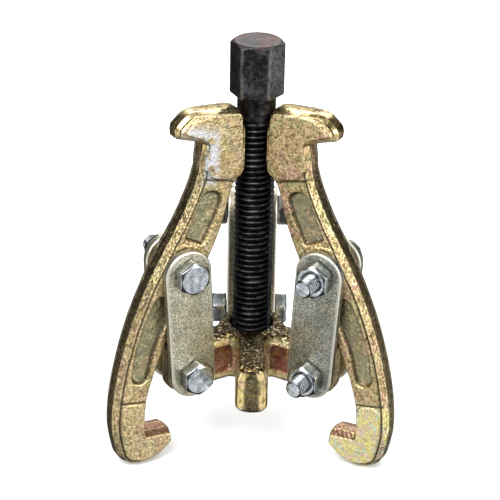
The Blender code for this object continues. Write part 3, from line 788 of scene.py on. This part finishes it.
class Paint:
    """A node material on one Principled shader, with short calls for the nodes that it uses."""

    def __init__(self, name, metallic, colour, roughness):
        self.material = bpy.data.materials.new(name)
        self.material.use_nodes = True
        self.tree = self.material.node_tree
        self.shader = self.tree.nodes["Principled BSDF"]
        self.shader.inputs["Metallic"].default_value = metallic
        self.shader.inputs["Base Color"].default_value = (*colour, 1)
        self.shader.inputs["Roughness"].default_value = roughness
        self.place = self.add("TexCoord").outputs["Object"]

    def add(self, kind):
        return self.tree.nodes.new("ShaderNode" + kind)

    def link(self, source, target):
        self.tree.links.new(source, target)

    def noise(self, per_mm, detail=4.0, roughness=0.55, shift=(0, 0, 0), stretch=(1, 1, 1), distortion=0.0):
        """Noise with that many cells to the millimetre."""
        mapping = self.add("Mapping")
        mapping.inputs["Location"].default_value = shift
        mapping.inputs["Scale"].default_value = stretch
        self.link(self.place, mapping.inputs["Vector"])
        node = self.add("TexNoise")
        node.inputs["Scale"].default_value = per_mm / MM
        node.inputs["Detail"].default_value = detail
        node.inputs["Roughness"].default_value = roughness
        node.inputs["Distortion"].default_value = distortion
        self.link(mapping.outputs["Vector"], node.inputs["Vector"])
        return node.outputs["Fac"]

    def ramp(self, source, *stops):
        """A colour ramp through (position, colour) stops. A colour is a grey number or an RGB triple."""
        node = self.add("ValToRGB")
        elements = node.color_ramp.elements
        while len(elements) < len(stops):
            elements.new(0.5)
        for element, (position, colour) in zip(elements, stops):
            element.position = position
            element.color = (*colour, 1) if isinstance(colour, tuple) else (colour, colour, colour, 1)
        self.link(source, node.inputs["Fac"])
        return node.outputs["Color"]

    def rising(self, source, start, full):
        """0 where the source is below start, rising to 1 where it is full."""
        return self.ramp(source, (start, 0.0), (full, 1.0))

    def mix(self, mask, a, b, blend="MIX"):
        """Colour a where the mask is 0 and b where it is 1. a and b are outputs or RGB triples."""
        node = self.add("Mix")
        node.data_type = "RGBA"
        node.blend_type = blend
        for value, socket in ((mask, node.inputs["Factor"]), (a, node.inputs["A"]), (b, node.inputs["B"])):
            self.feed(value, socket)
        return node.outputs["Result"]

    def feed(self, value, socket):
        if isinstance(value, tuple):
            socket.default_value = (*value, 1)
        elif isinstance(value, (int, float)):
            socket.default_value = value
        else:
            self.link(value, socket)

    def maths(self, operation, a, b):
        node = self.add("Math")
        node.operation = operation
        node.use_clamp = True
        self.feed(a, node.inputs[0])
        self.feed(b, node.inputs[1])
        return node.outputs["Value"]

    def pointiness(self):
        return self.add("NewGeometry").outputs["Pointiness"]

    def mark(self, name):
        """One of the piece's own marks, from 0 to 1."""
        node = self.add("Attribute")
        node.attribute_name = name
        return node.outputs["Fac"]

    def between_heights(self, zero, one):
        """0 at one height and 1 at another, both in millimetres."""
        split = self.add("SeparateXYZ")
        self.link(self.place, split.inputs["Vector"])
        node = self.add("MapRange")
        node.inputs["From Min"].default_value = zero * MM
        node.inputs["From Max"].default_value = one * MM
        self.link(split.outputs["Z"], node.inputs["Value"])
        return node.outputs["Result"]

    def tinted(self, colour, tint, strength, *masks):
        """The colour turned to the tint by that strength, where every mask is 1."""
        for mask in masks:
            strength = self.maths("MULTIPLY", mask, strength)
        return self.mix(strength, colour, tint)

    def bump(self, *layers):
        """Bumps in a chain from (height, millimetres high) layers."""
        normal = None
        for height, high in layers:
            node = self.add("Bump")
            node.inputs["Distance"].default_value = high * MM
            node.inputs["Strength"].default_value = 1.0
            self.link(height, node.inputs["Height"])
            if normal is not None:
                self.link(normal, node.inputs["Normal"])
            normal = node.outputs["Normal"]
        self.link(normal, self.shader.inputs["Normal"])

    def finish(self, colour, roughness):
        self.link(colour, self.shader.inputs["Base Color"])
        self.link(roughness, self.shader.inputs["Roughness"])
        return self.material


def forging_material(name, shift, rainbow=0.35, rainbow_top=150.0, bare=0.0, soil=0.0,
                     recess=(0.30, 0.30, 0.19)):
    """Yellow zinc on a rough forging: gold with olive and brown clouds, iridescent stains, and pale edges
    that are partly wear and partly a painted highlight. Painted shade darkens its grooves and hollows,
    painted dark reflections lie on the polished tops, and the band along the back is painted dark, partly as
    a painted dark reflection.

    rainbow is how strong the pink, green and blue stains are up to the height rainbow_top. bare is how much
    plain zinc shows round the notch, soil is how dark the crust on the yoke's top is, and recess is the
    colour in the pockets.
    """
    paint = Paint(name, 0.97, (0.7, 0.52, 0.28), 0.4)
    cloud = paint.noise(0.11, detail=5, shift=shift, distortion=0.5)
    gold = paint.ramp(cloud, (0.30, (0.32, 0.23, 0.11)), (0.42, (0.56, 0.41, 0.20)),
                      (0.54, (0.73, 0.53, 0.29)), (0.68, (0.52, 0.46, 0.23)))
    hue = paint.noise(0.17, detail=3, shift=(shift[2], shift[0], shift[1]), distortion=0.8)
    pink = paint.rising(hue, 0.54, 0.62)
    colour = paint.tinted(gold, (0.80, 0.46, 0.38), 0.15 + rainbow / 2, pink)
    green = paint.ramp(hue, (0.38, 1.0), (0.46, 0.0))
    colour = paint.tinted(colour, (0.58, 0.60, 0.28), 0.2 + rainbow / 2, green)

    rough = paint.maths("SUBTRACT", 1.0, paint.maths("MULTIPLY", paint.mark("smooth"), 0.8))
    grain = paint.noise(1.1, detail=4, roughness=0.6)
    shade = paint.ramp(grain, (0.34, 0.20), (0.44, 0.66), (0.54, 0.94), (0.66, 1.15))
    colour = paint.mix(paint.maths("MULTIPLY", rough, 0.95), colour, shade, "MULTIPLY")
    glints = paint.rising(grain, 0.55, 0.66)
    colour = paint.tinted(colour, (0.90, 0.77, 0.52), 0.45, glints, rough)
    flecks = paint.rising(paint.noise(0.62, detail=5, roughness=0.8, shift=shift), 0.59, 0.65)
    colour = paint.tinted(colour, (0.13, 0.085, 0.04), 0.7, flecks, rough)
    colour = paint.tinted(colour, (0.74, 0.52, 0.22), 0.4, paint.mark("smooth"))
    # Painted reflection: dark patches on the polished hook tops and lug ends.
    dark_reflection_pools = paint.rising(paint.noise(0.35, detail=4, shift=shift, distortion=1.0), 0.52, 0.56)
    colour = paint.tinted(colour, (0.13, 0.09, 0.03), 0.85, dark_reflection_pools, paint.mark("smooth"))

    low_down = paint.between_heights(rainbow_top + 2, rainbow_top - 2)
    stains = paint.noise(0.26, detail=1.5, shift=(shift[1], shift[2], shift[0]), distortion=1.2)
    colour = paint.tinted(colour, (1.0, 0.90, 0.42), rainbow * rainbow, low_down)
    for tint, stops in (
        ((1.0, 0.95, 0.34), ((0.28, 0.0), (0.40, 1.0), (0.52, 0.0))),
        ((1.0, 0.66, 0.66), ((0.48, 0.0), (0.53, 1.0), (0.58, 0.0))),
        ((0.62, 0.96, 0.72), ((0.56, 0.0), (0.63, 1.0), (0.72, 0.0))),
    ):
        colour = paint.tinted(colour, tint, rainbow, paint.ramp(stains, *stops), low_down)
    scratches = paint.noise(0.28, detail=3, distortion=2.0, shift=shift)
    scratches = paint.ramp(scratches, (0.490, 0.0), (0.5, 1.0), (0.510, 0.0))
    colour = paint.tinted(colour, (0.10, 0.08, 0.05), rainbow, scratches, low_down)

    # The band along the back is painted dark olive with streaks: partly the trim line's own colour, partly a
    # painted dark reflection.
    streaks = paint.noise(0.5, detail=6, roughness=0.75, stretch=(1.0, 1.0, 3.0), shift=shift)
    streaks = paint.ramp(streaks, (0.42, 1.0), (0.60, 0.55))
    colour = paint.tinted(colour, (0.12, 0.09, 0.04), 0.93, paint.mark("trimmed_and_shaded"), streaks)
    zinc = paint.rising(paint.noise(0.35, detail=5, roughness=0.6, shift=shift), 0.38, 0.54)
    colour = paint.tinted(colour, (0.74, 0.79, 0.86), bare, zinc, paint.mark("notch"))
    patches = paint.ramp(paint.noise(0.4, detail=5, roughness=0.7, shift=shift), (0.42, 0.35), (0.56, 0.95))
    colour = paint.tinted(colour, recess, patches, paint.mark("recess"))
    pitted = paint.ramp(paint.noise(0.7, detail=3, shift=shift), (0.40, 1.0), (0.50, 0.0))
    colour = paint.tinted(colour, (0.12, 0.09, 0.04), 0.7, pitted, paint.mark("rim"), rough)
    colour = paint.tinted(colour, (0.34, 0.15, 0.11), 0.8, paint.mark("grip"))
    # Pale gold on sharp and marked edges, partly wear and partly a painted highlight.
    breaks = paint.ramp(grain, (0.40, 0.25), (0.52, 1.0))
    edge = paint.rising(paint.pointiness(), 0.505, 0.56)
    edge = paint.maths("MULTIPLY", paint.maths("MAXIMUM", edge, paint.mark("wear_and_highlight")), breaks)
    colour = paint.tinted(colour, (0.95, 0.78, 0.44), 0.75, edge)
    # Painted shade: concave places, found by the mesh's pointiness, are darkened.
    hollow = paint.ramp(paint.pointiness(), (0.44, 1.0), (0.492, 0.0))
    colour = paint.tinted(colour, (0.10, 0.065, 0.03), 0.8, hollow)
    # Painted shade: near black in the grooves, under the pads' step and round the bore.
    colour = paint.tinted(colour, (0.02, 0.015, 0.008), 0.95, paint.mark("crease_shade"))
    crust = paint.ramp(grain, (0.53, 1.0), (0.62, 0.1))
    colour = paint.tinted(colour, (0.045, 0.027, 0.012), soil, paint.mark("top"), crust)

    roughness = paint.ramp(grain, (0.3, 0.40), (0.7, 0.22))
    roughness = paint.tinted(roughness, (0.24, 0.24, 0.24), 0.75, paint.mark("rim"))
    roughness = paint.tinted(roughness, (0.16, 0.16, 0.16), 0.8, edge)
    pits = paint.rising(paint.noise(0.8, detail=4, roughness=0.8), 0.32, 0.42)
    calmer = paint.maths("SUBTRACT", rough, paint.maths("MULTIPLY", paint.mark("rim"), 0.3))
    paint.bump(
        (paint.noise(0.35, detail=3), 0.14),
        (paint.maths("MULTIPLY", paint.noise(0.75, detail=3), rough), 0.2),
        (paint.maths("MULTIPLY", grain, calmer), 0.36),
        (paint.maths("MULTIPLY", pits, rough), 0.10),
    )
    return paint.finish(colour, roughness)


def plate_material(name, shift, dark, light):
    """Dull olive zinc on rolled plate: fine grain, soft cloudy stains, a few specks and a bright edge."""
    paint = Paint(name, 0.96, dark, 0.4)
    cloud = paint.noise(0.08, detail=4, shift=shift, distortion=0.5)
    base = paint.ramp(cloud, (0.34, dark), (0.60, light))
    warm = paint.noise(0.13, detail=3, shift=(shift[1], shift[2], shift[0]))
    warm = paint.rising(warm, 0.50, 0.62)
    base = paint.tinted(base, (0.52, 0.45, 0.27), 0.22, warm)
    grain = paint.noise(1.9, detail=2, roughness=0.5)
    colour = paint.mix(0.95, base, paint.ramp(grain, (0.34, 0.40), (0.5, 0.95), (0.66, 1.6)), "MULTIPLY")
    specks = paint.rising(paint.noise(0.6, detail=3, shift=shift), 0.66, 0.71)
    colour = paint.tinted(colour, (0.14, 0.12, 0.08), 0.65, specks)
    scratches = paint.noise(0.5, detail=5, stretch=(0.6, 0.6, 6.0), shift=shift)
    colour = paint.tinted(colour, (0.80, 0.78, 0.68), 0.35, paint.rising(scratches, 0.60, 0.68))
    edge = paint.rising(paint.pointiness(), 0.51, 0.55)
    colour = paint.tinted(colour, (0.92, 0.90, 0.78), 0.8, edge)
    roughness = paint.ramp(grain, (0.3, 0.50), (0.7, 0.32))
    paint.bump((paint.noise(0.5, detail=3), 0.06), (grain, 0.10))
    return paint.finish(colour, roughness)


def hardware_material():
    """Bright bluish zinc on the bolts and nuts, with grey handling marks."""
    paint = Paint("bright_zinc", 1.0, (0.78, 0.80, 0.84), 0.25)
    mottle = paint.noise(0.5, detail=5, roughness=0.65, distortion=0.4)
    colour = paint.ramp(mottle, (0.34, (0.20, 0.23, 0.26)), (0.48, (0.42, 0.46, 0.49)),
                        (0.62, (0.60, 0.65, 0.68)))
    marks = paint.noise(1.5, detail=5, roughness=0.7)
    colour = paint.mix(0.7, colour, paint.ramp(marks, (0.36, 0.65), (0.6, 1.2)), "MULTIPLY")
    edge = paint.rising(paint.pointiness(), 0.52, 0.58)
    colour = paint.tinted(colour, (0.99, 0.99, 1.0), 0.75, edge)
    # Painted shade: concave places, found by the mesh's pointiness, are darkened.
    hollow = paint.ramp(paint.pointiness(), (0.42, 1.0), (0.49, 0.0))
    colour = paint.tinted(colour, (0.10, 0.11, 0.13), 0.7, hollow)
    # Painted shade deep in the bolts' thread.
    colour = paint.tinted(colour, (0.02, 0.022, 0.026), 0.95, paint.mark("crease_shade"))
    roughness = paint.ramp(mottle, (0.3, 0.30), (0.7, 0.16))
    paint.bump((paint.noise(0.5, detail=3), 0.05), (marks, 0.03))
    return paint.finish(colour, roughness)


def screw_material():
    """Black oxide with oil: near black, grey on the thread's crests and the hexagon's corners from wear and
    as a painted highlight, with one side face of the hexagon painted lighter as painted light.
    """
    paint = Paint("black_oxide", 0.9, (0.03, 0.03, 0.035), 0.35)
    cloud = paint.noise(0.22, detail=6, roughness=0.65, distortion=0.5)
    colour = paint.ramp(cloud, (0.34, (0.008, 0.008, 0.011)), (0.52, (0.020, 0.019, 0.023)),
                        (0.62, (0.10, 0.095, 0.095)))
    on_top = paint.between_heights(HEX_TOP - 0.9, HEX_TOP - 0.3)
    rust = paint.rising(paint.noise(0.16, detail=5, shift=(0.4, 0.1, 0)), 0.42, 0.56)
    colour = paint.tinted(colour, (0.085, 0.08, 0.08), 0.75, on_top)
    colour = paint.tinted(colour, (0.15, 0.055, 0.04), 0.45, on_top, rust)
    # Crests and corners lightened to grey, partly wear and partly a painted highlight.
    edge = paint.rising(paint.pointiness(), 0.515, 0.58)
    edge = paint.maths("MULTIPLY", edge, paint.ramp(paint.noise(0.9, detail=5), (0.40, 0.1), (0.6, 1.0)))
    colour = paint.tinted(colour, (0.22, 0.22, 0.23), 0.5, edge)
    on_hexagon = paint.between_heights(HEX_BOTTOM - 0.5, HEX_BOTTOM + 0.5)
    scuffs = paint.rising(paint.noise(0.8, detail=4, roughness=0.65), 0.50, 0.60)
    colour = paint.tinted(colour, (0.09, 0.09, 0.095), 0.7, scuffs, on_hexagon)
    # Painted light: that hexagon face is painted a mottled lighter grey.
    light_mottle = paint.ramp(paint.noise(1.1, detail=3, roughness=0.6), (0.40, 0.05), (0.58, 1.0))
    colour = paint.tinted(colour, (0.17, 0.17, 0.175), 0.8, light_mottle, paint.mark("painted_light_face"))
    # Painted shade deep in the screw's thread.
    colour = paint.tinted(colour, (0.004, 0.004, 0.005), 0.9, paint.mark("crease_shade"))
    roughness = paint.ramp(cloud, (0.3, 0.26), (0.7, 0.44))
    paint.bump(
        (paint.noise(0.45, detail=4, roughness=0.6), 0.14),
        (paint.noise(1.6, detail=5, roughness=0.7), 0.06),
    )
    return paint.finish(colour, roughness)


def point_material():
    """Bare hardened steel, darkened by heat in bands round it."""
    paint = Paint("hardened_steel", 1.0, (0.3, 0.3, 0.31), 0.32)
    bands = paint.noise(0.5, detail=4, stretch=(0.2, 0.2, 3.0))
    colour = paint.ramp(bands, (0.3, (0.16, 0.15, 0.15)), (0.7, (0.42, 0.41, 0.42)))
    paint.bump((bands, 0.02))
    return paint.finish(colour, paint.ramp(bands, (0.3, 0.42), (0.7, 0.26)))


# Stage.


def add_floor():
    """A white sweep under the claws that runs far past the view. The metal does not mirror it."""
    bpy.ops.mesh.primitive_plane_add(size=6.0, location=(0, 0, FLOOR * MM))
    floor = bpy.context.object
    floor.name = "floor"
    floor.visible_glossy = False
    paint = Paint("pale_floor", 0.0, (0.9, 0.9, 0.9), 0.9)
    grain = paint.noise(0.02, detail=2)
    floor.data.materials.append(
        paint.finish(paint.ramp(grain, (0.3, 0.90), (0.7, 0.92)), paint.ramp(grain, (0.3, 0.85), (0.7, 0.95)))
    )


def add_light(name, place, size, power, target=(0, 0, 0.07)):
    """A soft rectangular light aimed at the target. Its place and size are in metres."""
    light = bpy.data.lights.new(name, "AREA")
    light.shape = "RECTANGLE"
    light.size, light.size_y = size
    light.energy = power
    made = bpy.data.objects.new(name, light)
    made.location = place
    made.rotation_mode = "QUATERNION"
    made.rotation_quaternion = (Vector(target) - Vector(place)).to_track_quat("-Z", "Y")
    bpy.context.scene.collection.objects.link(made)


def add_world():
    """A dim room with soft bright panels for the metal to mirror, and a plain white one everywhere else.

    A panel is (direction, cosine where its glow starts, cosine where it is full, light). Rays from the
    camera and rays from a diffuse surface see the white room.
    """
    panels = (
        ((0.0, 0.80, 0.60), 0.78, 0.93, 0.52),
        ((0.0, -0.20, 1.0), 0.55, 0.95, 0.65),
        ((0.0, -0.80, 0.60), 0.75, 0.97, 0.30),
        ((0.78, -0.46, -0.42), 0.72, 0.90, 0.92),
        ((-0.78, -0.46, -0.42), 0.72, 0.90, 0.82),
        ((-0.95, -0.12, -0.25), 0.92, 0.98, 0.65),
        ((0.92, 0.10, -0.37), 0.90, 0.97, 0.80),
        ((0.42, -0.82, -0.38), 0.93, 0.99, 0.60),
        ((-0.42, -0.82, -0.38), 0.93, 0.99, 0.75),
        ((0.0, 0.90, -0.42), 0.84, 0.96, 0.60),
    )
    world = bpy.data.worlds.new("studio")
    world.use_nodes = True
    bpy.context.scene.world = world
    tree = world.node_tree
    link = tree.links.new
    direction = tree.nodes.new("ShaderNodeTexCoord").outputs["Generated"]
    total = None
    for towards, start, full, light in panels:
        facing = tree.nodes.new("ShaderNodeVectorMath")
        facing.operation = "DOT_PRODUCT"
        facing.inputs[1].default_value = Vector(towards).normalized()
        link(direction, facing.inputs[0])
        glow = tree.nodes.new("ShaderNodeMapRange")
        glow.interpolation_type = "SMOOTHSTEP"
        glow.inputs["From Min"].default_value = start
        glow.inputs["From Max"].default_value = full
        glow.inputs["To Max"].default_value = light
        link(facing.outputs["Value"], glow.inputs["Value"])
        summed = tree.nodes.new("ShaderNodeMath")
        summed.operation = "ADD"
        summed.inputs[1].default_value = ROOM_LIGHT
        link(glow.outputs["Result"], summed.inputs[0])
        if total is not None:
            link(total, summed.inputs[1])
        total = summed.outputs["Value"]
    background = tree.nodes["Background"]
    link(total, background.inputs["Color"])
    white = tree.nodes.new("ShaderNodeBackground")
    white.inputs["Color"].default_value = (*WHITE_ROOM, 1)
    choice = tree.nodes.new("ShaderNodeMixShader")
    rays = tree.nodes.new("ShaderNodeLightPath")
    plain = tree.nodes.new("ShaderNodeMath")
    plain.operation = "MAXIMUM"
    link(rays.outputs["Is Camera Ray"], plain.inputs[0])
    link(rays.outputs["Is Diffuse Ray"], plain.inputs[1])
    link(plain.outputs["Value"], choice.inputs["Fac"])
    link(background.outputs["Background"], choice.inputs[1])
    link(white.outputs["Background"], choice.inputs[2])
    link(choice.outputs["Shader"], tree.nodes["World Output"].inputs["Surface"])


def add_camera():
    """A long lens from the front, looking down on the puller."""
    camera = bpy.data.cameras.new("camera")
    camera.sensor_width = 36
    camera.lens = 120.5
    made = bpy.data.objects.new("camera", camera)
    aim = Vector((-1.0, 0.0, 66.5)) * MM
    distance = 0.544
    elevation = math.radians(26.56)
    azimuth = math.radians(-0.98)
    roll = math.radians(1.29)
    back = Vector((
        math.sin(azimuth) * math.cos(elevation),
        -math.cos(azimuth) * math.cos(elevation),
        math.sin(elevation),
    ))
    made.location = aim + back * distance
    made.rotation_mode = "QUATERNION"
    made.rotation_quaternion = (-back).to_track_quat("-Z", "Y")
    made.rotation_quaternion @= Matrix.Rotation(roll, 3, "Z").to_quaternion()
    bpy.context.scene.collection.objects.link(made)
    bpy.context.scene.camera = made
    bpy.context.scene.view_settings.view_transform = "Standard"


def build():
    add_camera()
    add_floor()
    add_world()
    add_light("key", (-0.45, -0.5, 0.8), (0.8, 0.8), 12.0)
    add_light("fill", (0.7, -0.45, 0.4), (0.4, 0.6), 5.0)
    add_light("back", (0.1, 0.7, 0.7), (0.9, 0.3), 4.5)
    hardware = hardware_material()
    finishes = {
        "left": {"shift": (0.0, 0.3, 0.0), "rainbow": 0.14, "bare": 1.0},
        "right": {"shift": (0.7, -0.7, 1.3), "rainbow": 0.8, "rainbow_top": 24.0},
        "back": {"shift": (1.4, -1.7, 2.6), "rainbow": 0.3},
    }
    # The right arm's plates are painted darker than the others: painted shade, as they face front-left, away
    # from the brighter light.
    plates = {
        "left": ((0.30, 0.29, 0.21), (0.52, 0.50, 0.38)),
        "right": ((0.20, 0.205, 0.18), (0.34, 0.345, 0.30)),
        "back": ((0.33, 0.32, 0.25), (0.52, 0.50, 0.40)),
    }
    shape = jaw_shape()
    for seed, arm in enumerate(ARMS):
        add_jaw(arm, shape, forging_material(f"yellow_zinc_{arm}", **finishes[arm]))
        heads = -1 if arm == "back" else 1
        plate_paint = plate_material(f"olive_zinc_{arm}", (seed * 1.1, 0.2, seed * 0.4), *plates[arm])
        add_plate(arm, "head_side", heads, plate_paint, 20 + seed)
        add_plate(arm, "nut_side", -heads, plate_paint, 30 + seed)
        for height in ("lower", "upper"):
            add_hardware(arm, height, heads, hardware)
    yoke_paint = forging_material("yellow_zinc_yoke", (2.1, 1.4, 0.6), rainbow=0.3, soil=0.97,
                                  recess=(0.36, 0.13, 0.11))
    add_yoke(yoke_paint)
    add_screw(screw_material())
    add_centre_point(point_material())


build()
